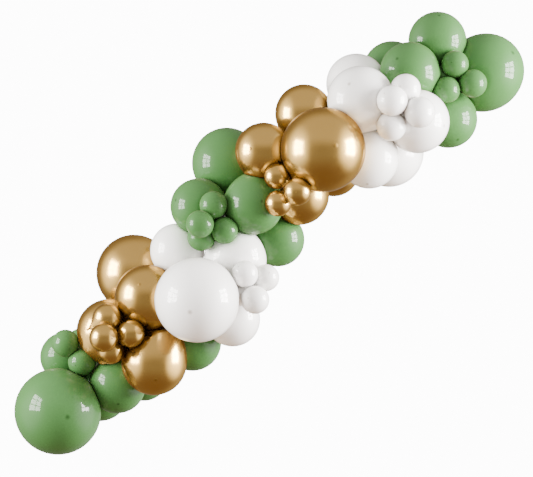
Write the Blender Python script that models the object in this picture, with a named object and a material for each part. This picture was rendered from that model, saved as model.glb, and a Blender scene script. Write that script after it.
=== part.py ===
import math

import bmesh
import bpy
from mathutils import Vector

# A balloon garland that hangs on a wall, in metres. X runs to the right along the wall, Z runs up,
# and the wall is the plane Y = 0, with the room at -Y. The origin is the middle of the flat where
# the upper green back balloon presses on the wall.

# Widths of the three bags as they are usually blown
SMALL_WIDTH = 0.112
MEDIUM_WIDTH = 0.236
LARGE_WIDTH = 0.330

# Length over width, from the mouth end to the crown
SMALL_STRETCH = 1.00
MEDIUM_STRETCH = 1.02
LARGE_STRETCH = 1.08

# The tied end of a medium balloon: the body tapers to a mouth, then a knot, then a flared lip.
# Where neighbours leave less room the taper is shorter and turns aside. A full taper is given up
# for a turn of TURN_FOR_TAPER degrees.
MOUTH_TAPER = 0.030
MOUTH_WIDTH = 0.024
KNOT_REACH = 0.010
KNOT_WIDTH = 0.009
LIP_REACH = 0.014
LIP_WIDTH = 0.019
TAPER_SHARES = (1.0, 0.75, 0.5, 0.25, 0.0, -0.3)
TURN_FOR_TAPER = 60
MOST_TURN_ASIDE = 80
MOST_OUTWARD = 0.15

# Small bags have a smaller mouth and large ones a bigger mouth
SMALL_MOUTH = 0.65
MEDIUM_MOUTH = 1.00
LARGE_MOUTH = 1.25

# How far behind the middle of a cluster its mouths are tied together
CLUSTER_TIE_DEPTH = 0.040
SMALLS_TIE_DEPTH = 0.030

# Touching skins keep this gap, and no neighbour presses in past a share of a half width
GAP = 0.0003
LEAST_KEPT = 0.35

# How far from the wall the anchor's middle is, as a share of its half width
ANCHOR_PRESS = 0.94

# A plane whose slope to the mouth's way is less than this runs alongside and never stops it
ALONGSIDE = 0.1
MOUTH_SIDES = 6

SMALL = {
    "width": SMALL_WIDTH,
    "stretch": SMALL_STRETCH,
    "mouth": SMALL_MOUTH,
    "tie depth": SMALLS_TIE_DEPTH,
    "points": 38,
}
MEDIUM = {
    "width": MEDIUM_WIDTH,
    "stretch": MEDIUM_STRETCH,
    "mouth": MEDIUM_MOUTH,
    "tie depth": CLUSTER_TIE_DEPTH,
    "points": 58,
}
LARGE = {
    "width": LARGE_WIDTH,
    "stretch": LARGE_STRETCH,
    "mouth": LARGE_MOUTH,
    "tie depth": CLUSTER_TIE_DEPTH,
    "points": 110,
}

# Colour, roughness and metallic value of the three finishes
GREEN = {"name": "sage_green_latex", "colour": (0.150, 0.290, 0.105), "roughness": 0.24, "metallic": 0.0}
GOLD = {"name": "chrome_gold_latex", "colour": (0.520, 0.330, 0.125), "roughness": 0.16, "metallic": 1.0}
WHITE = {"name": "white_latex", "colour": (0.860, 0.840, 0.825), "roughness": 0.28, "metallic": 0.0}

# The clusters from the lower left to the upper right, with the finish of each. A row is one
# balloon: its place, its bag, how full it is blown as a share of the bag's width, the balloon it
# sits on, and how it sits there. That is the way it lies from that balloon, in degrees round from
# +X towards +Z, its lean out from the wall in degrees, and how far apart the two middles are as a
# share of the two half widths. At 1.00 they only touch, and below it they press flat.
CLUSTERS = [
    ("lower_green", GREEN, [
        ("large", LARGE, 1.04, "lower_green_low", 206, 45, 0.92),
        ("back_left", MEDIUM, 0.82, "lower_green_large", 83, -30, 0.95),
        ("low", MEDIUM, 1.00, "lower_green_right", 200, -66, 0.78),
        ("far", MEDIUM, 0.83, "lower_green_low", 19, 1, 0.85),
        ("right", MEDIUM, 0.96, "lower_gold_bottom", 211, -39, 0.91),
        ("small_1", SMALL, 0.98, "lower_green_small_2", 130, 7, 0.92),
        ("small_2", SMALL, 0.96, "lower_green_back_left", 342, 60, 0.95),
        ("small_3", SMALL, 1.01, "lower_green_back_left", 41, -50, 0.88),
    ]),
    ("lower_gold", GOLD, [
        ("left", MEDIUM, 1.09, "lower_gold_mid", 222, -30, 0.91),
        ("top", MEDIUM, 1.28, "lower_gold_mid", 118, -65, 0.92),
        ("mid", MEDIUM, 1.09, "lower_white_large", 177, -41, 0.89),
        ("bottom", MEDIUM, 1.10, "lower_gold_left", 325, 25, 0.93),
        ("small_1", SMALL, 1.06, "lower_gold_left", 100, 72, 0.90),
        ("small_2", SMALL, 1.04, "lower_gold_small_1", 260, 43, 0.91),
        ("small_3", SMALL, 0.99, "lower_gold_mid", 246, 20, 0.92),
        ("small_4", SMALL, 0.95, "lower_gold_left", 274, 62, 0.91),
    ]),
    ("tucked_green", GREEN, [
        ("under", MEDIUM, 0.97, "lower_gold_bottom", 28, -37, 0.89),
    ]),
    ("lower_white", WHITE, [
        ("large", LARGE, 1.02, "lower_white_right", 228, 37, 0.98),
        ("left", MEDIUM, 0.91, "middle_green_left", 244, -15, 0.93),
        ("right", MEDIUM, 1.02, "middle_green_mid", 251, -14, 0.97),
        ("low", MEDIUM, 0.93, "lower_white_large", 332, -51, 0.91),
        ("small_1", SMALL, 0.96, "lower_white_right", 302, 62, 0.93),
        ("small_2", SMALL, 0.96, "lower_white_small_1", 350, -31, 0.92),
        ("small_3", SMALL, 1.01, "lower_white_small_4", 328, 57, 0.92),
        ("small_4", SMALL, 0.96, "lower_white_right", 284, 25, 0.90),
    ]),
    ("middle_green", GREEN, [
        ("top", MEDIUM, 1.18, "middle_green_left", 57, -28, 0.93),
        ("left", MEDIUM, 0.95, "middle_green_mid", 182, -17, 0.98),
        ("mid", MEDIUM, 1.01, "middle_green_low", 125, 40, 0.97),
        ("low", MEDIUM, 0.91, "upper_gold_low", 243, -16, 0.92),
        ("small_1", SMALL, 0.99, "middle_green_small_2", 55, -22, 0.91),
        ("small_2", SMALL, 0.99, "middle_green_small_4", 96, 59, 0.91),
        ("small_3", SMALL, 0.96, "middle_green_mid", 222, 20, 0.95),
        ("small_4", SMALL, 0.99, "middle_green_small_3", 196, -25, 0.97),
    ]),
    ("upper_gold", GOLD, [
        ("large", LARGE, 1.02, "upper_gold_left", 1, 24, 0.93),
        ("top", MEDIUM, 0.97, "upper_gold_large", 118, -50, 0.90),
        ("left", MEDIUM, 0.95, "middle_green_mid", 79, 0, 0.95),
        ("low", MEDIUM, 0.99, "upper_gold_far", 217, 37, 0.94),
        ("far", MEDIUM, 0.89, "upper_white_low", 198, -42, 0.91),
        ("small_1", SMALL, 0.92, "upper_gold_large", 210, -8, 0.98),
        ("small_2", SMALL, 0.98, "upper_gold_small_3", 31, 22, 0.91),
        ("small_3", SMALL, 0.93, "middle_green_mid", 3, 50, 0.91),
    ]),
    ("upper_white", WHITE, [
        ("back", MEDIUM, 1.02, "upper_green_back", 202, 45, 0.93),
        ("left", MEDIUM, 1.13, "upper_white_back", 285, 74, 0.91),
        ("low", MEDIUM, 1.01, "upper_white_left", 278, -17, 0.98),
        ("low_back", MEDIUM, 1.17, "upper_white_low", 18, -69, 0.90),
        ("right", MEDIUM, 1.07, "upper_white_left", 339, -14, 0.96),
        ("small_1", SMALL, 1.09, "upper_white_small_2", 41, -51, 0.91),
        ("small_2", SMALL, 1.11, "upper_white_left", 358, 45, 0.91),
        ("small_3", SMALL, 1.11, "upper_white_right", 75, 77, 0.89),
        ("small_4", SMALL, 1.06, "upper_white_left", 319, 23, 0.91),
    ]),
    ("upper_green", GREEN, [
        ("back", MEDIUM, 0.97, None, 0, 0, ANCHOR_PRESS),
        ("left", MEDIUM, 1.01, "upper_white_back", 13, 18, 0.96),
        ("top", MEDIUM, 0.98, "upper_green_large", 146, 18, 0.88),
        ("low", MEDIUM, 0.98, "upper_white_right", 5, -57, 0.94),
        ("large", LARGE, 0.93, "upper_green_low", 52, -21, 0.93),
        ("small_1", SMALL, 0.98, "upper_green_small_2", 133, 2, 0.94),
        ("small_2", SMALL, 1.01, "upper_green_large", 224, 71, 0.91),
        ("small_3", SMALL, 0.94, "upper_green_low", 92, 45, 0.97),
        ("small_4", SMALL, 0.93, "upper_green_large", 186, 36, 0.97),
    ]),
]


def clear_scene():
    for old in list(bpy.data.objects):
        bpy.data.objects.remove(old, do_unlink=True)


def read_clusters():
    # One entry for each balloon, under its full name
    balloons = {}
    for cluster, finish, rows in CLUSTERS:
        for place, bag, full, seat, turn, lean, press in rows:
            balloons[f"{cluster}_{place}"] = {
                "cluster": cluster,
                "finish": finish,
                "bag": bag,
                "half": bag["width"] * full / 2,
                "seat": seat,
                "turn": math.radians(turn),
                "lean": math.radians(lean),
                "press": press,
            }
    return balloons


def find_middle(balloons, name):
    # The anchor presses on the wall, and every other balloon presses on the one it sits on
    balloon = balloons[name]
    if "middle" not in balloon:
        if balloon["seat"] is None:
            balloon["middle"] = Vector((0, -balloon["half"] * balloon["press"], 0))
        else:
            seat = balloons[balloon["seat"]]
            across = math.cos(balloon["lean"])
            way = Vector((
                across * math.cos(balloon["turn"]),
                -math.sin(balloon["lean"]),
                across * math.sin(balloon["turn"]),
            ))
            apart = (balloon["half"] + seat["half"]) * balloon["press"]
            balloon["middle"] = find_middle(balloons, balloon["seat"]) + way * apart
    return balloon["middle"]


def tie_point(balloons, balloon):
    # Bags of one sort in one cluster are tied together by their mouths, behind their middle
    small = balloon["bag"] is SMALL
    middles = []
    for other in balloons.values():
        if other["cluster"] == balloon["cluster"] and (other["bag"] is SMALL) == small:
            middles.append(other["middle"])
    mean = sum(middles, Vector()) / len(middles)
    return mean + Vector((0, balloon["bag"]["tie depth"], 0))


def own_room(balloons, name):
    # The planes that part a balloon from its neighbours and from the wall, as directions from its
    # middle and how far out they lie. Two balloons meet where their round outsides cross.
    own = balloons[name]
    planes = [(Vector((0, 1, 0)), -own["middle"].y)]
    for other_name, other in balloons.items():
        if other_name != name:
            way = other["middle"] - own["middle"]
            apart = way.length
            reach = (apart ** 2 + own["half"] ** 2 - other["half"] ** 2) / (2 * apart)
            reach = min(reach, apart - LEAST_KEPT * other["half"])
            reach = max(reach, LEAST_KEPT * own["half"])
            planes.append((way / apart, reach - GAP / 2))
    return planes


def mouth_rings(bag, half, taper_share):
    # Distance from the middle and half width of the mouth, the knot and the lip's rim
    share = bag["mouth"]
    mouth = half * bag["stretch"] + MOUTH_TAPER * share * taper_share
    knot = mouth + KNOT_REACH * share
    lip = knot + LIP_REACH * share
    return [
        (mouth, MOUTH_WIDTH / 2 * share),
        (knot, KNOT_WIDTH / 2 * share),
        (lip, LIP_WIDTH / 2 * share),
    ]


def room_ahead(planes, way, rings):
    # How far the rings could move on along this way before one meets a plane
    room = 1.0
    for normal, reach in planes:
        ahead = normal.dot(way)
        if ahead > ALONGSIDE:
            aside = math.sqrt(max(1 - ahead * ahead, 0))
            for distance, radius in rings:
                room = min(room, (reach - radius * aside) / ahead - distance)
    return room


def ways_near(wanted):
    # Directions ever further from the wanted one, and hardly any further out into the room
    yield 0, wanted
    side = wanted.orthogonal().normalized()
    other_side = wanted.cross(side)
    for tilt in range(10, MOST_TURN_ASIDE + 1, 10):
        for turn in range(0, 360, 20):
            aside = side * math.cos(math.radians(turn)) + other_side * math.sin(math.radians(turn))
            way = wanted * math.cos(math.radians(tilt)) + aside * math.sin(math.radians(tilt))
            if way.y > wanted.y - MOST_OUTWARD:
                yield tilt, way


def find_mouth(planes, wanted, bag, half):
    # The way the mouth points and its rings: the longest taper with the least turn that has room
    best_score, best = -math.inf, None
    for tilt, way in ways_near(wanted):
        for taper_share in TAPER_SHARES:
            rings = mouth_rings(bag, half, taper_share)
            room = room_ahead(planes, way, rings)
            if room < 0:
                rings = [(distance + room, radius) for distance, radius in rings]
            score = taper_share - tilt / TURN_FOR_TAPER + min(room, 0) / GAP
            if score > best_score:
                best_score, best = score, (way, rings)
    return best


def ball_points(count):
    # Even points on a unit ball, laid along a spiral by the golden angle
    golden_angle = math.pi * (3 - math.sqrt(5))
    points = []
    for step in range(count):
        height = 1 - 2 * (step + 0.5) / count
        ring = math.sqrt(1 - height * height)
        angle = golden_angle * step
        points.append(Vector((ring * math.cos(angle), ring * math.sin(angle), height)))
    return points


def flat_rim(normal, reach, size):
    # Points round the flat where a plane cuts the balloon, worked out on the unit ball
    on_ball = Vector([normal[i] * size[i] for i in range(3)])
    lift = reach / on_ball.length
    if lift >= 1:
        return []
    on_ball.normalize()
    radius = math.sqrt(1 - lift * lift)
    corners = min(3 + round(12 * radius), 8)
    side = on_ball.orthogonal().normalized()
    other_side = on_ball.cross(side)
    rim = []
    for corner in range(corners):
        angle = math.tau * corner / corners
        point = on_ball * lift + (side * math.cos(angle) + other_side * math.sin(angle)) * radius
        rim.append(Vector([point[i] * size[i] for i in range(3)]))
    return rim


def body_points(planes, size, count, mouth_distance):
    # The round outside inside its own room, short of the mouth, and the rims of the flats
    clear = 0.02 * size[0]
    points = []
    for ball_point in ball_points(count):
        point = Vector([ball_point[i] * size[i] for i in range(3)])
        if all(normal.dot(point) < reach - clear for normal, reach in planes):
            points.append(point)
    for own_plane in planes:
        for point in flat_rim(*own_plane, size):
            if all(normal.dot(point) < reach + 1e-7 for normal, reach in planes):
                points.append(point)
    return [point for point in points if -point.z < mouth_distance - GAP]


def ring_points(distance, radius):
    points = []
    for side in range(MOUTH_SIDES):
        angle = math.tau * side / MOUTH_SIDES
        points.append(Vector((radius * math.cos(angle), radius * math.sin(angle), -distance)))
    return points


def balloon_mesh(name, planes, size, count, rings):
    # In the balloon's own frame the crown is at +Z and the mouth at -Z
    shape = bmesh.new()
    for point in body_points(planes, size, count, rings[0][0]):
        shape.verts.new(point)
    mouth = [shape.verts.new(point) for point in ring_points(*rings[0])]
    hull = bmesh.ops.convex_hull(shape, input=shape.verts[:], use_existing_faces=False)
    inside = [item for item in hull["geom_interior"] if isinstance(item, bmesh.types.BMVert)]
    bmesh.ops.delete(shape, geom=inside, context="VERTS")
    ends = [face for face in shape.faces if all(corner in mouth for corner in face.verts)]
    bmesh.ops.delete(shape, geom=ends, context="FACES")
    last = mouth
    for ring in rings[1:]:
        fresh = [shape.verts.new(point) for point in ring_points(*ring)]
        for side in range(MOUTH_SIDES):
            after = (side + 1) % MOUTH_SIDES
            shape.faces.new((last[side], last[after], fresh[after], fresh[side]))
        last = fresh
    shape.faces.new(last)
    bmesh.ops.recalc_face_normals(shape, faces=shape.faces[:])
    mesh = bpy.data.meshes.new(name)
    shape.to_mesh(mesh)
    shape.free()
    mesh.shade_smooth()
    mesh.set_sharp_from_angle(angle=math.radians(50))
    return mesh


def make_finish(finish):
    material = bpy.data.materials.new(finish["name"])
    material.use_nodes = True
    shader = material.node_tree.nodes["Principled BSDF"]
    shader.inputs["Base Color"].default_value = (*finish["colour"], 1)
    shader.inputs["Roughness"].default_value = finish["roughness"]
    shader.inputs["Metallic"].default_value = finish["metallic"]
    return material


def make_balloon(balloons, name, material):
    balloon = balloons[name]
    bag, half = balloon["bag"], balloon["half"]
    planes = own_room(balloons, name)
    wanted = (tie_point(balloons, balloon) - balloon["middle"]).normalized()
    way, rings = find_mouth(planes, wanted, bag, half)
    turn = (-way).to_track_quat("Z", "Y")
    to_own = turn.inverted()
    own_planes = [(to_own @ normal, reach) for normal, reach in planes]
    size = (half, half, half * bag["stretch"])
    mesh = balloon_mesh(name, own_planes, size, bag["points"], rings)
    mesh.materials.append(material)
    thing = bpy.data.objects.new(name, mesh)
    thing.location = balloon["middle"]
    thing.rotation_mode = "QUATERNION"
    thing.rotation_quaternion = turn
    bpy.context.scene.collection.objects.link(thing)


def make_garland():
    clear_scene()
    balloons = read_clusters()
    for name in balloons:
        find_middle(balloons, name)
    materials = {finish["name"]: make_finish(finish) for finish in (GREEN, GOLD, WHITE)}
    for name, balloon in balloons.items():
        make_balloon(balloons, name, materials[balloon["finish"]["name"]])


make_garland()
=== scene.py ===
import math

import bpy
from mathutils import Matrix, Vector


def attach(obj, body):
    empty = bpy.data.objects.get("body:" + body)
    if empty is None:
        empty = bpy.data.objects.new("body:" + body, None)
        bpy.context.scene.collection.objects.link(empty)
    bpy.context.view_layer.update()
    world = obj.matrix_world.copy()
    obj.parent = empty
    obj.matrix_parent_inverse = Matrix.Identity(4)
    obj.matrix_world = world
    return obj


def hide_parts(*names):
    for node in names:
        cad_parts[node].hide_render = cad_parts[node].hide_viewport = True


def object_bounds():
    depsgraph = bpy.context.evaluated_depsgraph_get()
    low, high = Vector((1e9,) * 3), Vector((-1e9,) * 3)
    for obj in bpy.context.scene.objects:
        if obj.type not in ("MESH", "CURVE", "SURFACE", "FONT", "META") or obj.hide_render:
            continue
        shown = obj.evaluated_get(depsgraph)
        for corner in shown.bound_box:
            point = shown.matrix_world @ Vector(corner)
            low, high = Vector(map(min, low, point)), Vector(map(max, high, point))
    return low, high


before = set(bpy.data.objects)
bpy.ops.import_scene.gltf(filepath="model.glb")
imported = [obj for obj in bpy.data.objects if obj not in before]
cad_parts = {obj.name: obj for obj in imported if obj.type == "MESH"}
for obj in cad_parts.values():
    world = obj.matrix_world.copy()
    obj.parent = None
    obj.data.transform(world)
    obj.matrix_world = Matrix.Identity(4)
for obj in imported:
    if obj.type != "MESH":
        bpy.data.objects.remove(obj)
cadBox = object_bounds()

print("the packed frame is loaded:", len(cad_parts), "balloons")

# The garland's layout, the same as the solids are built to. X runs to the right along the wall,
# Z runs up, and the wall is the plane Y = 0 with the room at -Y. All sizes are in metres.
layout = {
    "gap": 0.0003,            # between touching skins
    "leastKept": 0.35,        # no neighbour presses in past this share of a half width
    "anchorPress": 0.94,      # of the first balloon on the wall
    "alongside": 0.1,         # a flat that faces a mouth less than this is beside it, not ahead
    "taper": 0.030,           # the tied end of a medium bag
    "mouthWidth": 0.024,
    "knotReach": 0.010,
    "knotWidth": 0.009,
    "lipReach": 0.014,
    "lipWidth": 0.019,
    "taperShares": (1.0, 0.75, 0.5, 0.25, 0.0, -0.3),     # tried for each mouth
    "turnForTaper": 60,       # degrees of turn that weigh as much as a full taper
    "mostTurnAside": 80,      # degrees
    "turnAsideStep": 10,
    "turnRoundStep": 20,
    "mostOutward": 0.15,      # farther away from the wall than the tie
}

# width as usually blown, length over width, size of the tied end, depth of the tie behind the
# cluster's middle, and how fine the mesh is
small = {"width": 0.112, "stretch": 1.00, "mouth": 0.65, "tieDepth": 0.030, "round": 60, "along": 36}
medium = {"width": 0.236, "stretch": 1.02, "mouth": 1.00, "tieDepth": 0.040, "round": 104, "along": 60}
large = {"width": 0.330, "stretch": 1.08, "mouth": 1.25, "tieDepth": 0.040, "round": 160, "along": 90}

# Clusters from the lower left to the upper right. A row is a balloon's place, its bag, how full it
# is, the balloon it sits on, the way it lies from that one in degrees round from +X towards +Z, its
# lean out from the wall in degrees, and how hard it presses, where 1 only touches.
clusters = (
    ("lower_green", "sage_green_latex", (
        ("large", large, 1.04, "lower_green_low", 206, 45, 0.92),
        ("back_left", medium, 0.82, "lower_green_large", 83, -30, 0.95),
        ("low", medium, 1.00, "lower_green_right", 200, -66, 0.78),
        ("far", medium, 0.83, "lower_green_low", 19, 1, 0.85),
        ("right", medium, 0.96, "lower_gold_bottom", 211, -39, 0.91),
        ("small_1", small, 0.98, "lower_green_small_2", 130, 7, 0.92),
        ("small_2", small, 0.96, "lower_green_back_left", 342, 60, 0.95),
        ("small_3", small, 1.01, "lower_green_back_left", 41, -50, 0.88),
    )),
    ("lower_gold", "chrome_gold_latex", (
        ("left", medium, 1.09, "lower_gold_mid", 222, -30, 0.91),
        ("top", medium, 1.28, "lower_gold_mid", 118, -65, 0.92),
        ("mid", medium, 1.09, "lower_white_large", 177, -41, 0.89),
        ("bottom", medium, 1.10, "lower_gold_left", 325, 25, 0.93),
        ("small_1", small, 1.06, "lower_gold_left", 100, 72, 0.90),
        ("small_2", small, 1.04, "lower_gold_small_1", 260, 43, 0.91),
        ("small_3", small, 0.99, "lower_gold_mid", 246, 20, 0.92),
        ("small_4", small, 0.95, "lower_gold_left", 274, 62, 0.91),
    )),
    ("tucked_green", "sage_green_latex", (
        ("under", medium, 0.97, "lower_gold_bottom", 28, -37, 0.89),
    )),
    ("lower_white", "white_latex", (
        ("large", large, 1.02, "lower_white_right", 228, 37, 0.98),
        ("left", medium, 0.91, "middle_green_left", 244, -15, 0.93),
        ("right", medium, 1.02, "middle_green_mid", 251, -14, 0.97),
        ("low", medium, 0.93, "lower_white_large", 332, -51, 0.91),
        ("small_1", small, 0.96, "lower_white_right", 302, 62, 0.93),
        ("small_2", small, 0.96, "lower_white_small_1", 350, -31, 0.92),
        ("small_3", small, 1.01, "lower_white_small_4", 328, 57, 0.92),
        ("small_4", small, 0.96, "lower_white_right", 284, 25, 0.90),
    )),
    ("middle_green", "sage_green_latex", (
        ("top", medium, 1.18, "middle_green_left", 57, -28, 0.93),
        ("left", medium, 0.95, "middle_green_mid", 182, -17, 0.98),
        ("mid", medium, 1.01, "middle_green_low", 125, 40, 0.97),
        ("low", medium, 0.91, "upper_gold_low", 243, -16, 0.92),
        ("small_1", small, 0.99, "middle_green_small_2", 55, -22, 0.91),
        ("small_2", small, 0.99, "middle_green_small_4", 96, 59, 0.91),
        ("small_3", small, 0.96, "middle_green_mid", 222, 20, 0.95),
        ("small_4", small, 0.99, "middle_green_small_3", 196, -25, 0.97),
    )),
    ("upper_gold", "chrome_gold_latex", (
        ("large", large, 1.02, "upper_gold_left", 1, 24, 0.93),
        ("top", medium, 0.97, "upper_gold_large", 118, -50, 0.90),
        ("left", medium, 0.95, "middle_green_mid", 79, 0, 0.95),
        ("low", medium, 0.99, "upper_gold_far", 217, 37, 0.94),
        ("far", medium, 0.89, "upper_white_low", 198, -42, 0.91),
        ("small_1", small, 0.92, "upper_gold_large", 210, -8, 0.98),
        ("small_2", small, 0.98, "upper_gold_small_3", 31, 22, 0.91),
        ("small_3", small, 0.93, "middle_green_mid", 3, 50, 0.91),
    )),
    ("upper_white", "white_latex", (
        ("back", medium, 1.02, "upper_green_back", 202, 45, 0.93),
        ("left", medium, 1.13, "upper_white_back", 285, 74, 0.91),
        ("low", medium, 1.01, "upper_white_left", 278, -17, 0.98),
        ("low_back", medium, 1.17, "upper_white_low", 18, -69, 0.90),
        ("right", medium, 1.07, "upper_white_left", 339, -14, 0.96),
        ("small_1", small, 1.09, "upper_white_small_2", 41, -51, 0.91),
        ("small_2", small, 1.11, "upper_white_left", 358, 45, 0.91),
        ("small_3", small, 1.11, "upper_white_right", 75, 77, 0.89),
        ("small_4", small, 1.06, "upper_white_left", 319, 23, 0.91),
    )),
    ("upper_green", "sage_green_latex", (
        ("back", medium, 0.97, None, 0, 0, layout["anchorPress"]),
        ("left", medium, 1.01, "upper_white_back", 13, 18, 0.96),
        ("top", medium, 0.98, "upper_green_large", 146, 18, 0.88),
        ("low", medium, 0.98, "upper_white_right", 5, -57, 0.94),
        ("large", large, 0.93, "upper_green_low", 52, -21, 0.93),
        ("small_1", small, 0.98, "upper_green_small_2", 133, 2, 0.94),
        ("small_2", small, 1.01, "upper_green_large", 224, 71, 0.91),
        ("small_3", small, 0.94, "upper_green_low", 92, 45, 0.97),
        ("small_4", small, 0.93, "upper_green_large", 186, 36, 0.97),
    )),
)

balloons = {}
for cluster, finish, rows in clusters:
    for place, bag, full, seat, turn, lean, press in rows:
        balloons[f"{cluster}_{place}"] = {
            "cluster": cluster, "finish": finish, "bag": bag, "half": bag["width"] * full / 2,
            "seat": seat, "turn": math.radians(turn), "lean": math.radians(lean), "press": press,
        }


def findMiddle(name):
    # a balloon's middle, worked out from the balloon it sits on
    balloon = balloons[name]
    if "middle" not in balloon:
        if balloon["seat"] is None:
            balloon["middle"] = Vector((0, -balloon["half"] * balloon["press"], 0))
        else:
            seat = balloons[balloon["seat"]]
            across = math.cos(balloon["lean"])
            way = Vector((across * math.cos(balloon["turn"]), -math.sin(balloon["lean"]),
                          across * math.sin(balloon["turn"])))
            apart = (balloon["half"] + seat["half"]) * balloon["press"]
            balloon["middle"] = findMiddle(balloon["seat"]) + way * apart
    return balloon["middle"]


def tiePoint(balloon):
    # where the mouths of one cluster's bags of one sort are tied together
    tiedWithIt = [other for other in balloons.values() if other["cluster"] == balloon["cluster"]
                  and (other["bag"] is small) == (balloon["bag"] is small)]
    middles = [other["middle"] for other in tiedWithIt]
    return sum(middles, Vector()) / len(middles) + Vector((0, balloon["bag"]["tieDepth"], 0))


def ownRoom(name):
    # the flats that neighbours and the wall press, as a direction and a reach from the middle
    own = balloons[name]
    flats = [(Vector((0, 1, 0)), -own["middle"].y)]
    for otherName, other in balloons.items():
        if otherName != name:
            way = other["middle"] - own["middle"]
            apart = way.length
            reach = (apart ** 2 + own["half"] ** 2 - other["half"] ** 2) / (2 * apart)
            reach = min(reach, apart - layout["leastKept"] * other["half"])
            reach = max(reach, layout["leastKept"] * own["half"])
            flats.append((way / apart, reach - layout["gap"] / 2))
    return flats


def mouthRings(bag, half, taperShare):
    # reach and half width of the mouth, the knot and the lip
    share = bag["mouth"]
    mouth = half * bag["stretch"] + layout["taper"] * share * taperShare
    knot = mouth + layout["knotReach"] * share
    lip = knot + layout["lipReach"] * share
    return [(mouth, layout["mouthWidth"] / 2 * share), (knot, layout["knotWidth"] / 2 * share),
            (lip, layout["lipWidth"] / 2 * share)]


def roomAhead(flats, way, rings):
    room = 1.0
    for normal, reach in flats:
        ahead = normal.dot(way)
        if ahead > layout["alongside"]:
            aside = math.sqrt(max(1 - ahead * ahead, 0))
            for distance, radius in rings:
                room = min(room, (reach - radius * aside) / ahead - distance)
    return room


def waysNear(wanted):
    yield 0, wanted
    side = wanted.orthogonal().normalized()
    otherSide = wanted.cross(side)
    for tilt in range(layout["turnAsideStep"], layout["mostTurnAside"] + 1, layout["turnAsideStep"]):
        for turn in range(0, 360, layout["turnRoundStep"]):
            aside = side * math.cos(math.radians(turn)) + otherSide * math.sin(math.radians(turn))
            way = wanted * math.cos(math.radians(tilt)) + aside * math.sin(math.radians(tilt))
            if way.y > wanted.y - layout["mostOutward"]:
                yield tilt, way


def findMouth(balloon, wanted):
    # the longest taper with the least turn that has room between the neighbours
    flats = balloon["flats"]
    bestScore, best = -math.inf, None
    for tilt, way in waysNear(wanted):
        for taperShare in layout["taperShares"]:
            rings = mouthRings(balloon["bag"], balloon["half"], taperShare)
            room = roomAhead(flats, way, rings)
            if room < 0:
                rings = [(distance + room, radius) for distance, radius in rings]
            score = taperShare - tilt / layout["turnForTaper"] + min(room, 0) / layout["gap"]
            if score > bestScore:
                bestScore, best = score, (way, rings)
    return best


# How much farther out than their solids some bags sit, in metres: small ones that show as whole
# rounds, and one whose flat would be seen edge-on
fartherOut = {
    "upper_gold_small_1": 0.028,
    "upper_gold_small_2": 0.024,
    "lower_gold_small_3": 0.020,
    "lower_green_small_2": 0.012,
    "upper_green_small_4": 0.016,
    "upper_white_small_1": 0.020,
    "middle_green_small_4": 0.014,
    "lower_white_small_4": 0.014,
    "upper_white_small_4": 0.014,
    "upper_gold_left": 0.008,
}

# A mouth that would show at the outline on its way to the tie turns straight back
turnedBack = ("lower_green_small_1",)

for name in balloons:
    findMiddle(name)
for name, distance in fartherOut.items():
    balloons[name]["middle"].y -= distance
for name, balloon in balloons.items():
    balloon["flats"] = ownRoom(name)
    wanted = Vector((0, 1, 0))
    if name not in turnedBack:
        wanted = (tiePoint(balloon) - balloon["middle"]).normalized()
    balloon["mouthWay"], balloon["rings"] = findMouth(balloon, wanted)
print("the layout is worked out")

# The shape of a blown bag
skin = {
    "leaveAngle": 42,       # degrees from the mouth at which the ball starts to taper
    "ballShare": 0.8,       # of the rings along a bag, the rest are on its taper
    "ballRunsOn": 0.40,     # how far the taper starts out along the ball, as a share of its span
    "mouthOut": 0.10,       # and how far aside and up it is when it turns in to the mouth
    "mouthUp": 0.22,
    "firmFrom": 0.8,        # along the taper, past which the neighbours press it less and less
    "gathersFrom": 0.35,    # along the taper
    "neckReach": 0.010,     # past a medium bag's mouth, in metres, up to where it is gathered in full
    "lipGather": 0.25,      # and how much the knot and the lip are
    "swell": 1.012,         # pressed bags swell a little between their flats
    "rounding": 0.060,      # how softly a flat runs out into the ball, as a share of the half width
    "flatsWithin": 1.3,     # half widths, past which a neighbour's flat is too far to matter
    "bulgeFocus": 4,        # the higher, the narrower a bulge
    "gathers": 11,          # folds round the neck
    "gatherDepth": 0.10,
    "wobble": 0.0005,       # slow unevenness of the skin, in metres
    "wobbleScale": 5.0,
}

# Where the thick tip of a crown shows at the front, as X and Z from the balloon's middle in half
# widths. Elsewhere it lies opposite the mouth.
shownCrowns = {
    "lower_white_large": (-0.160, -0.263),
    "upper_gold_large": (0.271, 0.098),
    "upper_green_left": (-0.426, 0.433),
    "lower_white_small_1": (-0.470, 0.560),
}

# Bags that bulge towards a gap between their neighbours, as X, Y and Z of the way and the extra as a
# share of the half width
bulges = {
    "lower_green_low": ((-0.18, 0.0, 0.98), 0.05),
    "lower_green_small_2": ((1.0, 0.0, 0.07), 0.09),
    "lower_gold_bottom": ((0.27, -0.10, 0.96), 0.33),
    "lower_gold_mid": ((0.45, -0.10, -0.89), 0.11),
    "lower_gold_left": ((-0.43, 0.0, -0.90), 0.14),
    "lower_white_right": ((0.86, 0.0, -0.52), 0.06),
    "middle_green_mid": ((0.30, -0.05, 0.95), 0.15),
    "upper_gold_left": ((-0.05, 0.0, -1.0), 0.16),
    "upper_green_left": ((0.76, 0.0, -0.65), 0.08),
    "upper_green_small_3": ((-0.98, 0.0, -0.15), 0.12),
}

# The tied end of a medium bag below its mouth: distance past the mouth and half width, through the
# gathered neck, the knot and the rolled lip, and back up inside the lip
tiedEnd = ((0.0030, 0.0088), (0.0065, 0.0056), (0.0090, 0.0052), (0.0112, 0.0066), (0.0138, 0.0068),
           (0.0160, 0.0052), (0.0178, 0.0044), (0.0200, 0.0060), (0.0222, 0.0086), (0.0236, 0.0096),
           (0.0241, 0.0092), (0.0238, 0.0084), (0.0226, 0.0066), (0.0205, 0.0036), (0.0196, 0.0012))


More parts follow.
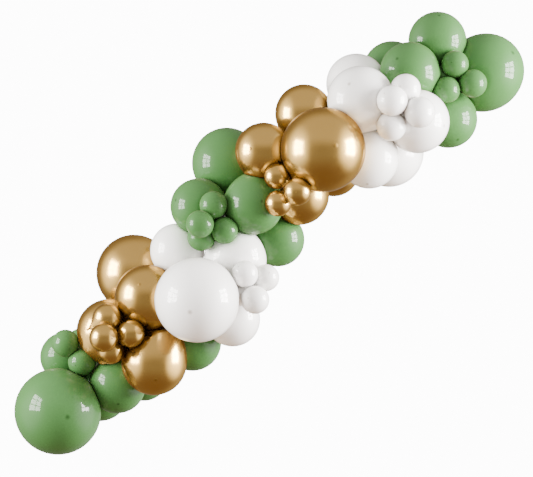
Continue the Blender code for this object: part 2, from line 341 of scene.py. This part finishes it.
def bezier(start, startHandle, endHandle, end, share):
    rest = 1 - share
    return [start[i] * rest ** 3 + 3 * startHandle[i] * rest ** 2 * share
            + 3 * endHandle[i] * rest * share ** 2 + end[i] * share ** 3 for i in range(2)]


def bagProfile(balloon):
    # rings from the crown to the lip: half width, height along the axis, how far the neighbours
    # may press it, and how much it is gathered
    bag, half = balloon["bag"], balloon["half"]
    wide = half * skin["swell"]
    length = wide * bag["stretch"]
    mouthReach, mouthHalf = balloon["rings"][0]
    leave = math.pi - math.radians(skin["leaveAngle"])
    steps = round(bag["along"] * skin["ballShare"])
    rings = []
    for step in range(1, steps + 1):
        angle = leave * step / steps
        rings.append([wide * math.sin(angle), length * math.cos(angle), 1.0, 0.0])
    start = (rings[-1][0], rings[-1][1])
    end = (mouthHalf, -mouthReach)
    span = math.dist(start, end)
    slope = Vector((wide * math.cos(leave), -length * math.sin(leave))).normalized()
    runOn = span * skin["ballRunsOn"]
    startHandle = (start[0] + slope.x * runOn, start[1] + slope.y * runOn)
    endHandle = (end[0] + span * skin["mouthOut"], end[1] + span * skin["mouthUp"])
    taperSteps = bag["along"] - steps
    for step in range(1, taperSteps + 1):
        share = step / taperSteps
        radius, height = bezier(start, startHandle, endHandle, end, share)
        softness = 1 - max(share - skin["firmFrom"], 0) / (1 - skin["firmFrom"])
        gathered = max(share - skin["gathersFrom"], 0) / (1 - skin["gathersFrom"])
        rings.append([radius, height, softness, gathered])
    size = bag["mouth"]
    for reach, radius in tiedEnd:
        gathered = 1.0 if reach < skin["neckReach"] else skin["lipGather"]
        rings.append([radius * size, -(mouthReach + reach * size), 0.0, gathered])
    return rings


def bulged(direction, bulge):
    # how much longer the bag is in this direction
    way, extra = bulge
    return 1 + extra * max(direction.dot(way), 0) ** skin["bulgeFocus"]


def bagMesh(name, balloon, crown, bulge):
    # A closed skin turned round the axis, crown up, with U round it and V the way from the crown.
    # Each point also keeps its direction seen from the middle, turned so that +Z is the thick tip.
    rings = bagProfile(balloon)
    around = balloon["bag"]["round"]
    half = balloon["half"]
    points = [(0, 0, half * balloon["bag"]["stretch"] * skin["swell"])]
    pressable, neck, travelled = [1.0], [0.0], [0.0]
    last = (0.0, points[0][2])
    for radius, height, press, gather in rings:
        travel = travelled[-1] + math.dist(last, (radius, height)) / half
        last = (radius, height)
        for step in range(around):
            angle = math.tau * step / around
            fold = 1 + skin["gatherDepth"] * gather ** 2 * math.cos(skin["gathers"] * angle)
            points.append((radius * fold * math.cos(angle), radius * fold * math.sin(angle), height))
            pressable.append(press)
            neck.append(gather)
        travelled.append(travel)
    points.append((0, 0, rings[-1][1]))
    pressable.append(0.0)
    neck.append(1.0)
    faces, corners = [], []
    end = len(points) - 1
    for ring in range(len(rings) + 1):
        upper, lower = 1 + (ring - 1) * around, 1 + ring * around
        high, low = travelled[ring], travelled[min(ring + 1, len(rings))]
        for step in range(around):
            after = (step + 1) % around
            left, middle, right = step / around, (step + 0.5) / around, (step + 1) / around
            if ring == 0:
                faces.append((0, 1 + step, 1 + after))
                corners += [(middle, high), (left, low), (right, low)]
            elif ring == len(rings):
                faces.append((upper + step, end, upper + after))
                corners += [(left, high), (middle, low), (right, high)]
            else:
                faces.append((upper + step, lower + step, lower + after, upper + after))
                corners += [(left, high), (left, low), (right, low), (right, high)]
    mesh = bpy.data.meshes.new(name)
    mesh.from_pydata(points, [], faces)
    uvMap = mesh.uv_layers.new(name="UVMap")
    uvMap.data.foreach_set("uv", [number for corner in corners for number in corner])
    mesh.attributes.new("pressable", "FLOAT", "POINT").data.foreach_set("value", pressable)
    mesh.attributes.new("neck", "FLOAT", "POINT").data.foreach_set("value", neck)
    if bulge:
        for index, point in enumerate(mesh.vertices):
            point.co *= 1 + (bulged(point.co.normalized(), bulge) - 1) * pressable[index]
    toTip = crown.rotation_difference(Vector((0, 0, 1)))
    directions = [number for point in points for number in toTip @ Vector(point).normalized()]
    mesh.attributes.new("fromTip", "FLOAT_VECTOR", "POINT").data.foreach_set("vector", directions)
    mesh.shade_smooth()
    return mesh


def addSockets(tree, inOut, sockets):
    for name, kind in sockets:
        tree.interface.new_socket(name=name, in_out=inOut, socket_type=f"NodeSocket{kind}")


def feed(tree, socket, value):
    # a link from another socket, or a plain value
    if isinstance(value, bpy.types.NodeSocket):
        tree.links.new(value, socket)
    elif socket.type == "RGBA":
        socket.default_value = (*value, 1)
    else:
        socket.default_value = value


def maths(tree, operation, *inputs):
    node = tree.nodes.new("ShaderNodeMath")
    node.operation = operation
    for place, value in enumerate(inputs):
        feed(tree, node.inputs[place], value)
    return node.outputs["Value"]


def ranged(tree, value, span, toLow=0.0, toHigh=1.0, smooth=True):
    node = tree.nodes.new("ShaderNodeMapRange")
    node.interpolation_type = "SMOOTHSTEP" if smooth else "LINEAR"
    feed(tree, node.inputs["Value"], value)
    for name, number in zip(("From Min", "From Max", "To Min", "To Max"), (*span, toLow, toHigh)):
        feed(tree, node.inputs[name], number)
    return node.outputs["Result"]


def blended(tree, share, first, second):
    node = tree.nodes.new("ShaderNodeMix")
    node.data_type = "RGBA"
    for place, value in zip((0, 6, 7), (share, first, second)):
        feed(tree, node.inputs[place], value)
    return node.outputs[2]


def pressTree():
    # Presses a bag flat wherever a neighbour's flat is nearer than its skin, lets the skin wander a
    # little, and puts the bag in its place. The flats come as points, each at the flat's foot.
    tree = bpy.data.node_groups.new("pressed balloon", "GeometryNodeTree")
    addSockets(tree, "INPUT", (
        ("Geometry", "Geometry"), ("Flats", "Object"), ("Rounding", "Float"), ("Wobble", "Float"),
        ("Wobble scale", "Float"), ("Wobble seed", "Float"), ("Turn", "Vector"), ("Middle", "Vector"),
        ("Finish", "Material"),
    ))
    addSockets(tree, "OUTPUT", (("Geometry", "Geometry"),))
    nodes, link = tree.nodes, tree.links.new
    given = nodes.new("NodeGroupInput")
    result = nodes.new("NodeGroupOutput")

    def vector(operation, *inputs):
        node = nodes.new("ShaderNodeVectorMath")
        node.operation = operation
        for place, value in enumerate(inputs):
            link(value, node.inputs[place])
        return node.outputs["Value"] if operation in ("LENGTH", "DOT_PRODUCT") else node.outputs["Vector"]

    def scaled(direction, amount):
        node = nodes.new("ShaderNodeVectorMath")
        node.operation = "SCALE"
        link(direction, node.inputs[0])
        link(amount, node.inputs["Scale"])
        return node.outputs["Vector"]

    def named(name):
        node = nodes.new("GeometryNodeInputNamedAttribute")
        node.data_type = "FLOAT"
        node.inputs["Name"].default_value = name
        return node.outputs["Attribute"]

    def store(geometry, name, value):
        node = nodes.new("GeometryNodeStoreNamedAttribute")
        node.data_type, node.domain = "FLOAT", "POINT"
        node.inputs["Name"].default_value = name
        link(geometry, node.inputs["Geometry"])
        link(value, node.inputs["Value"])
        return node.outputs["Geometry"]

    position = nodes.new("GeometryNodeInputPosition").outputs["Position"]
    way = vector("NORMALIZE", position)
    fromMiddle = vector("LENGTH", position)
    flats = nodes.new("GeometryNodeObjectInfo")
    link(given.outputs["Flats"], flats.inputs["Object"])
    count = nodes.new("GeometryNodeAttributeDomainSize")
    link(flats.outputs["Geometry"], count.inputs["Geometry"])
    start, end = nodes.new("GeometryNodeRepeatInput"), nodes.new("GeometryNodeRepeatOutput")
    start.pair_with_output(end)
    link(count.outputs["Point Count"], start.inputs["Iterations"])
    link(store(given.outputs["Geometry"], "reach", fromMiddle), start.inputs["Geometry"])
    foot = nodes.new("GeometryNodeSampleIndex")
    foot.data_type, foot.domain = "FLOAT_VECTOR", "POINT"
    link(flats.outputs["Geometry"], foot.inputs["Geometry"])
    link(position, foot.inputs["Value"])
    link(start.outputs["Iteration"], foot.inputs["Index"])
    leastTowards = 0.001      # keeps a flat that lies behind a point out of its reach
    towards = maths(tree, "MAXIMUM", vector("DOT_PRODUCT", way, foot.outputs["Value"]), leastTowards)
    footSquared = vector("DOT_PRODUCT", foot.outputs["Value"], foot.outputs["Value"])
    flatReach = maths(tree, "DIVIDE", footSquared, towards)
    nearer = maths(tree, "SMOOTH_MIN", named("reach"), flatReach, given.outputs["Rounding"])
    link(store(start.outputs["Geometry"], "reach", nearer), end.inputs["Geometry"])
    # back to the bag's own shape towards the tied end, which has room of its own
    share = named("pressable")
    pressedIn = maths(tree, "MULTIPLY", share, maths(tree, "SUBTRACT", named("reach"), fromMiddle))
    pressed = maths(tree, "ADD", fromMiddle, pressedIn)
    noise = nodes.new("ShaderNodeTexNoise")
    noise.noise_dimensions = "4D"
    link(position, noise.inputs["Vector"])
    link(given.outputs["Wobble scale"], noise.inputs["Scale"])
    link(given.outputs["Wobble seed"], noise.inputs["W"])
    noise.inputs["Detail"].default_value = 1.0
    wander = maths(tree, "MULTIPLY", noise.outputs["Fac"], given.outputs["Wobble"])
    inward = maths(tree, "MULTIPLY", wander, share)
    shape = nodes.new("GeometryNodeSetPosition")
    link(end.outputs["Geometry"], shape.inputs["Geometry"])
    link(scaled(way, maths(tree, "SUBTRACT", pressed, inward)), shape.inputs["Position"])
    clean = shape.outputs["Geometry"]
    for name in ("reach", "pressable"):
        forget = nodes.new("GeometryNodeRemoveAttribute")
        forget.inputs["Name"].default_value = name
        link(clean, forget.inputs["Geometry"])
        clean = forget.outputs["Geometry"]
    move = nodes.new("GeometryNodeTransform")
    link(clean, move.inputs["Geometry"])
    link(given.outputs["Middle"], move.inputs["Translation"])
    link(given.outputs["Turn"], move.inputs["Rotation"])
    real = nodes.new("GeometryNodeRealizeInstances")
    link(move.outputs["Geometry"], real.inputs["Geometry"])
    finish = nodes.new("GeometryNodeSetMaterial")
    link(real.outputs["Geometry"], finish.inputs["Geometry"])
    link(given.outputs["Finish"], finish.inputs["Material"])
    link(finish.outputs["Geometry"], result.inputs["Geometry"])
    return tree


def setInputs(modifier, values):
    identifiers = {item.name: item.identifier for item in modifier.node_group.interface.items_tree
                   if item.item_type == "SOCKET" and item.in_out == "INPUT"}
    for name, value in values.items():
        modifier[identifiers[name]] = value


# The detail that all blown latex shares. Heights are in shares of bumpDistance, which is in metres.
detail = {
    "mottleScale": 7.0, "mottleSpan": (0.35, 0.65),
    "glossScale": 22.0, "glossSpan": (0.3, 0.7), "thickRoughness": 0.12,
    "neckSpan": (0.1, 1.0), "neckThickness": 0.9,
    "grainScale": 260.0, "foldsPerGather": 3, "foldHeight": 0.4, "tipHeight": 0.9, "bumpDistance": 0.001,
}


def skinGroup():
    # a deeper colour where the skin is thick, at the crown's tip and the gathered neck, slow
    # mottling, uneven gloss, and a fine grain with folds at the neck
    group = bpy.data.node_groups.new("blown latex", "ShaderNodeTree")
    addSockets(group, "INPUT", (
        ("Colour", "Color"), ("Deep colour", "Color"), ("Crown spot", "Float"), ("Mottling", "Float"),
        ("Gloss from", "Float"), ("Gloss to", "Float"), ("Grain", "Float"),
    ))
    addSockets(group, "OUTPUT", (("Colour", "Color"), ("Roughness", "Float"), ("Normal", "Vector")))
    nodes, link = group.nodes, group.links.new
    given, result = nodes.new("NodeGroupInput"), nodes.new("NodeGroupOutput")

    def noise(scale, octaves, roughness=0.5):
        node = nodes.new("ShaderNodeTexNoise")
        node.inputs["Scale"].default_value = scale
        node.inputs["Detail"].default_value = octaves
        node.inputs["Roughness"].default_value = roughness
        link(place.outputs["Object"], node.inputs["Vector"])
        return node.outputs["Fac"]

    place = nodes.new("ShaderNodeTexCoord")
    uvMap = nodes.new("ShaderNodeUVMap")
    uvMap.uv_map = "UVMap"
    parts = nodes.new("ShaderNodeSeparateXYZ")
    link(uvMap.outputs["UV"], parts.inputs["Vector"])
    around = parts.outputs["X"]
    neck = nodes.new("ShaderNodeAttribute")
    neck.attribute_name = "neck"
    fromTip = nodes.new("ShaderNodeAttribute")
    fromTip.attribute_name = "fromTip"
    tipParts = nodes.new("ShaderNodeSeparateXYZ")
    link(fromTip.outputs["Vector"], tipParts.inputs["Vector"])
    squares = [maths(group, "POWER", tipParts.outputs[axis], 2.0) for axis in "XY"]
    aside = maths(group, "SQRT", maths(group, "ADD", *squares))
    apart = maths(group, "ARCTAN2", aside, tipParts.outputs["Z"])
    crown = ranged(group, apart, (0.0, given.outputs["Crown spot"]), 1.0, 0.0)
    neckThick = ranged(group, neck.outputs["Fac"], detail["neckSpan"], 0.0, detail["neckThickness"])
    thick = maths(group, "MAXIMUM", crown, neckThick)
    patches = ranged(group, noise(detail["mottleScale"], octaves=3.0), detail["mottleSpan"], smooth=False)
    mottle = maths(group, "MULTIPLY", patches, given.outputs["Mottling"])
    deep = maths(group, "MINIMUM", maths(group, "ADD", thick, mottle), 1.0)
    link(blended(group, deep, given.outputs["Colour"], given.outputs["Deep colour"]), result.inputs["Colour"])
    gloss = ranged(group, noise(detail["glossScale"], octaves=4.0, roughness=0.6), detail["glossSpan"],
                   given.outputs["Gloss from"], given.outputs["Gloss to"], smooth=False)
    dulled = maths(group, "MULTIPLY", thick, detail["thickRoughness"])
    link(maths(group, "ADD", gloss, dulled), result.inputs["Roughness"])
    turns = math.tau * skin["gathers"] * detail["foldsPerGather"]
    folds = maths(group, "SINE", maths(group, "MULTIPLY", around, turns))
    neckFolds = maths(group, "MULTIPLY", folds, neck.outputs["Fac"])
    folded = maths(group, "MULTIPLY", neckFolds, detail["foldHeight"])
    grain = maths(group, "MULTIPLY", noise(detail["grainScale"], octaves=2.0), given.outputs["Grain"])
    tip = maths(group, "MULTIPLY", crown, detail["tipHeight"])
    bump = nodes.new("ShaderNodeBump")
    bump.inputs["Strength"].default_value = 1.0
    bump.inputs["Distance"].default_value = detail["bumpDistance"]
    link(maths(group, "ADD", maths(group, "ADD", grain, folded), tip), bump.inputs["Height"])
    link(bump.outputs["Normal"], result.inputs["Normal"])
    return group


# The mirrored colour and the bounce colour are the colours that neighbours catch from a skin in place of its
# own, and softened is the roughness that they see on top of its own. Both are painted light: the mirrored
# colour is a duller painted reflection that paints shade into the gaps, and the bounce colour is brighter
# than the skin and paints extra light into the creases.
finishes = {
    "sage_green_latex": {
        "colour": (0.049, 0.136, 0.038), "deep": (0.020, 0.066, 0.014),
        "mirrored": (0.180, 0.160, 0.095), "paintedBounce": (0.120, 0.300, 0.095), "softened": 0.0,
        "crownSpot": 0.085, "mottling": 0.12, "glossFrom": 0.36, "glossTo": 0.46, "grain": 0.010,
        "metallic": 0.0, "specular": 0.04, "edgeTint": (1.0, 1.0, 1.0),
        "coat": 0.40, "coatRoughness": 0.06,
    },
    "chrome_gold_latex": {
        "colour": (0.635, 0.397, 0.110), "deep": (0.400, 0.225, 0.045),
        "mirrored": (0.470, 0.385, 0.235), "paintedBounce": (0.720, 0.500, 0.200), "softened": 0.40,
        "crownSpot": 0.075, "mottling": 0.10, "glossFrom": 0.19, "glossTo": 0.24, "grain": 0.008,
        "metallic": 1.0, "specular": 0.5, "edgeTint": (0.72, 0.58, 0.40),
        "coat": 0.20, "coatRoughness": 0.03,
    },
    "white_latex": {
        "colour": (0.905, 0.892, 0.882), "deep": (0.500, 0.450, 0.410),
        "mirrored": (0.480, 0.450, 0.400), "paintedBounce": (0.905, 0.892, 0.882), "softened": 0.0,
        "crownSpot": 0.085, "mottling": 0.03, "glossFrom": 0.32, "glossTo": 0.42, "grain": 0.010,
        "metallic": 0.0, "specular": 0.35, "edgeTint": (1.0, 1.0, 1.0),
        "coat": 0.9, "coatRoughness": 0.05,
    },
}


def makeFinish(name, values, group):
    material = bpy.data.materials.new(name)
    material.use_nodes = True
    tree = material.node_tree
    nodes, link = tree.nodes, tree.links.new
    shader = nodes["Principled BSDF"]
    latex = nodes.new("ShaderNodeGroup")
    latex.node_tree = group
    for socket, value in (("Colour", "colour"), ("Deep colour", "deep"), ("Crown spot", "crownSpot"),
                          ("Mottling", "mottling"), ("Gloss from", "glossFrom"), ("Gloss to", "glossTo"),
                          ("Grain", "grain")):
        feed(tree, latex.inputs[socket], values[value])
    # Neighbours mirror this skin as duller and paler in hue than the eye sees it, a painted reflection that
    # keeps them free of stray glints and paints brown shade into the gaps between gold skins. Diffuse bounces
    # see the skin in a brighter colour than its own, painted light that stands in for light through the thin
    # skin and lightens the creases of its neighbours.
    path = nodes.new("ShaderNodeLightPath")
    colour = blended(tree, path.outputs["Is Diffuse Ray"], latex.outputs["Colour"], values["paintedBounce"])
    colour = blended(tree, path.outputs["Is Glossy Ray"], colour, values["mirrored"])
    link(colour, shader.inputs["Base Color"])
    extra = ranged(tree, path.outputs["Is Camera Ray"], (0.0, 1.0), values["softened"], 0.0, smooth=False)
    link(maths(tree, "ADD", latex.outputs["Roughness"], extra), shader.inputs["Roughness"])
    link(latex.outputs["Normal"], shader.inputs["Normal"])
    for socket, value in (("Metallic", "metallic"), ("Specular IOR Level", "specular"),
                          ("Specular Tint", "edgeTint"), ("Coat Weight", "coat"),
                          ("Coat Roughness", "coatRoughness")):
        feed(tree, shader.inputs[socket], values[value])
    return material


latexGroup = skinGroup()
materials = {name: makeFinish(name, values, latexGroup) for name, values in finishes.items()}
print("the three finishes are made")


def blowBalloon(name, balloon, tree, seed):
    # the bag's own mesh, pressed and placed by the tree, then kept as a plain mesh
    turn = (-balloon["mouthWay"]).to_track_quat("Z", "Y")
    back = turn.inverted()
    farthest = balloon["half"] * skin["flatsWithin"]
    feet = [(back @ normal) * reach for normal, reach in balloon["flats"] if reach < farthest]
    flatsMesh = bpy.data.meshes.new(f"{name}_flats")
    flatsMesh.from_pydata(feet, [], [])
    flats = bpy.data.objects.new(f"{name}_flats", flatsMesh)
    crown = -balloon["mouthWay"]
    if name in shownCrowns:
        aside, up = shownCrowns[name]
        crown = Vector((aside, -math.sqrt(1 - aside ** 2 - up ** 2), up))
    bulge = None
    if name in bulges:
        way, extra = bulges[name]
        bulge = (back @ Vector(way).normalized(), extra)
    piece = bpy.data.objects.new(f"{name}_skin", bagMesh(f"{name}_skin", balloon, back @ crown, bulge))
    for thing in (flats, piece):
        bpy.context.scene.collection.objects.link(thing)
    modifier = piece.modifiers.new("press", "NODES")
    modifier.node_group = tree
    setInputs(modifier, {
        "Flats": flats,
        "Rounding": balloon["half"] * skin["rounding"],
        "Wobble": skin["wobble"],
        "Wobble scale": skin["wobbleScale"],
        "Wobble seed": float(seed),
        "Turn": tuple(turn.to_euler()),
        "Middle": tuple(balloon["middle"]),
        "Finish": materials[balloon["finish"]],
    })
    graph = bpy.context.evaluated_depsgraph_get()
    blown = bpy.data.meshes.new_from_object(piece.evaluated_get(graph), depsgraph=graph)
    plain = piece.data
    piece.modifiers.clear()
    piece.data = blown
    bpy.data.meshes.remove(plain)
    bpy.data.objects.remove(flats, do_unlink=True)
    bpy.data.meshes.remove(flatsMesh)
    return piece


pressedBalloon = pressTree()
triangles = 0
for seed, (name, balloon) in enumerate(balloons.items()):
    piece = blowBalloon(name, balloon, pressedBalloon, seed)
    triangles += sum(len(face.vertices) - 2 for face in piece.data.polygons)
    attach(piece, "root")
    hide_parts(name)
print("the balloons are blown and pressed:", triangles, "triangles")

# A pale floor well below, soft daylight from two tall windows, and a room that the skins mirror:
# a dim front, a light ceiling, a warm dark floor and bright sides
studio = {
    "floorDrop": 0.30, "floorWidth": 4.0, "floorFront": 3.0, "floorBehind": 0.5,
    "floorColour": (0.78, 0.76, 0.73), "floorRoughness": 0.6,
    "daylight": (1.0, 0.985, 0.96), "windowAside": 4.2, "windowColumns": 2, "windowRows": 3,
    "paneHeight": 0.70, "paneGap": 0.12, "windowLow": -1.15,
    "leftWindow": {"farEdge": -2.80, "paneWidth": 1.06, "brightness": 48.0},
    "rightWindow": {"farEdge": -2.25, "paneWidth": 1.00, "brightness": 86.0},
    "roomFront": (0.46, 0.42, 0.36), "roomUp": (0.98, 0.93, 0.86), "roomDown": (0.32, 0.215, 0.130),
    "roomRight": (4.8, 4.7, 4.6), "roomLeft": (2.8, 2.75, 2.7),
    "roomBehindRight": (0.90, 0.84, 0.78), "roomBehindLeft": (0.42, 0.37, 0.32), "backdrop": 13.0,
    "fillFront": (0.90, 0.86, 0.81), "fillUp": (1.90, 1.83, 1.74), "fillDown": (1.12, 0.65, 0.33),
    # from where to where each part of the room comes in, where 1 points straight at it
    "upSpan": (0.02, 0.60), "downSpan": (0.30, 1.00), "sideSpan": (0.58, 1.00),
    "behindSpan": (0.10, 0.75), "behindSideSpan": (-0.1, 0.6),
}
middleX = (cadBox[0].x + cadBox[1].x) / 2


def addFloor():
    # it looks pale, but the skins mirror the dim room below instead
    height = cadBox[0].z - studio["floorDrop"]
    left, right = middleX - studio["floorWidth"] / 2, middleX + studio["floorWidth"] / 2
    front, back = -studio["floorFront"], studio["floorBehind"]
    edge = [(left, front, height), (right, front, height), (right, back, height), (left, back, height)]
    mesh = bpy.data.meshes.new("floor")
    mesh.from_pydata(edge, [], [(0, 1, 2, 3)])
    floor = bpy.data.objects.new("floor", mesh)
    bpy.context.scene.collection.objects.link(floor)
    material = bpy.data.materials.new("pale floor")
    material.use_nodes = True
    nodes, link = material.node_tree.nodes, material.node_tree.links.new
    shader = nodes["Principled BSDF"]
    shader.inputs["Roughness"].default_value = studio["floorRoughness"]
    shader.inputs["Base Color"].default_value = (*studio["floorColour"], 1)
    clear = nodes.new("ShaderNodeBsdfTransparent")
    path = nodes.new("ShaderNodeLightPath")
    mix = nodes.new("ShaderNodeMixShader")
    link(path.outputs["Is Camera Ray"], mix.inputs["Fac"])
    link(clear.outputs["BSDF"], mix.inputs[1])
    link(shader.outputs["BSDF"], mix.inputs[2])
    link(mix.outputs["Shader"], nodes["Material Output"].inputs["Surface"])
    mesh.materials.append(material)


def addWindow(side, farEdge, paneWidth, brightness):
    # panes of one tall window, in a plane at right angles to the wall
    height, gap = studio["paneHeight"], studio["paneGap"]
    for column in range(studio["windowColumns"]):
        for row in range(studio["windowRows"]):
            light = bpy.data.lights.new("window pane", "AREA")
            light.shape = "RECTANGLE"
            light.size, light.size_y = paneWidth, height
            light.energy = brightness * math.pi * paneWidth * height
            light.color = studio["daylight"]
            pane = bpy.data.objects.new("window pane", light)
            bpy.context.scene.collection.objects.link(pane)
            pane.location = (
                middleX + side * studio["windowAside"],
                farEdge + paneWidth / 2 + column * (paneWidth + gap),
                studio["windowLow"] + height / 2 + row * (height + gap),
            )
            pane.rotation_euler = (math.radians(90), 0, math.radians(90 * side))


def addRoom():
    # what the skins mirror in each direction, and a white backdrop for the camera
    world = bpy.data.worlds.new("room")
    bpy.context.scene.world = world
    world.use_nodes = True
    tree = world.node_tree
    nodes, link = tree.nodes, tree.links.new
    nodes.clear()
    place = nodes.new("ShaderNodeTexCoord")
    parts = nodes.new("ShaderNodeSeparateXYZ")
    link(place.outputs["Generated"], parts.inputs["Vector"])
    across, deep, up = (parts.outputs[axis] for axis in "XYZ")
    path = nodes.new("ShaderNodeLightPath")
    dull = path.outputs["Is Diffuse Ray"]
    front = blended(tree, dull, studio["roomFront"], studio["fillFront"])
    above = blended(tree, dull, studio["roomUp"], studio["fillUp"])
    below = blended(tree, dull, studio["roomDown"], studio["fillDown"])
    toRight = ranged(tree, across, studio["sideSpan"])
    toLeft = ranged(tree, maths(tree, "MULTIPLY", across, -1.0), studio["sideSpan"])
    toRightBehind = ranged(tree, across, studio["behindSideSpan"])
    behind = blended(tree, toRightBehind, studio["roomBehindLeft"], studio["roomBehindRight"])
    room = blended(tree, ranged(tree, up, studio["upSpan"]), front, above)
    room = blended(tree, toRight, room, studio["roomRight"])
    room = blended(tree, toLeft, room, studio["roomLeft"])
    room = blended(tree, ranged(tree, deep, studio["behindSpan"]), room, behind)
    room = blended(tree, ranged(tree, maths(tree, "MULTIPLY", up, -1.0), studio["downSpan"]), room, below)
    light = nodes.new("ShaderNodeBackground")
    link(room, light.inputs["Color"])
    seen = nodes.new("ShaderNodeBackground")
    seen.inputs["Color"].default_value = (1, 1, 1, 1)
    seen.inputs["Strength"].default_value = studio["backdrop"]
    mix = nodes.new("ShaderNodeMixShader")
    result = nodes.new("ShaderNodeOutputWorld")
    link(path.outputs["Is Camera Ray"], mix.inputs["Fac"])
    link(light.outputs["Background"], mix.inputs[1])
    link(seen.outputs["Background"], mix.inputs[2])
    link(mix.outputs["Shader"], result.inputs["Surface"])


addFloor()
addWindow(-1, **studio["leftWindow"])
addWindow(1, **studio["rightWindow"])
addRoom()

# The camera looks straight at the wall. One pixel of the 533 x 477 picture is 4 mm.
view = {
    "pixel": 0.004, "pictureWidth": 533, "pictureHeight": 477,
    "originX": 392.5, "originY": 69.8,      # the pixel that the origin falls on
    "away": 6.0,
}
camera = bpy.data.objects.new("camera", bpy.data.cameras.new("camera"))
camera.data.type = "ORTHO"
camera.data.ortho_scale = view["pictureWidth"] * view["pixel"]
camera.location = ((view["pictureWidth"] / 2 - view["originX"]) * view["pixel"], -view["away"],
                   (view["originY"] - view["pictureHeight"] / 2) * view["pixel"])
camera.rotation_euler = (math.radians(90), 0, 0)
bpy.context.scene.collection.objects.link(camera)
bpy.context.scene.camera = camera
print("the studio is set")
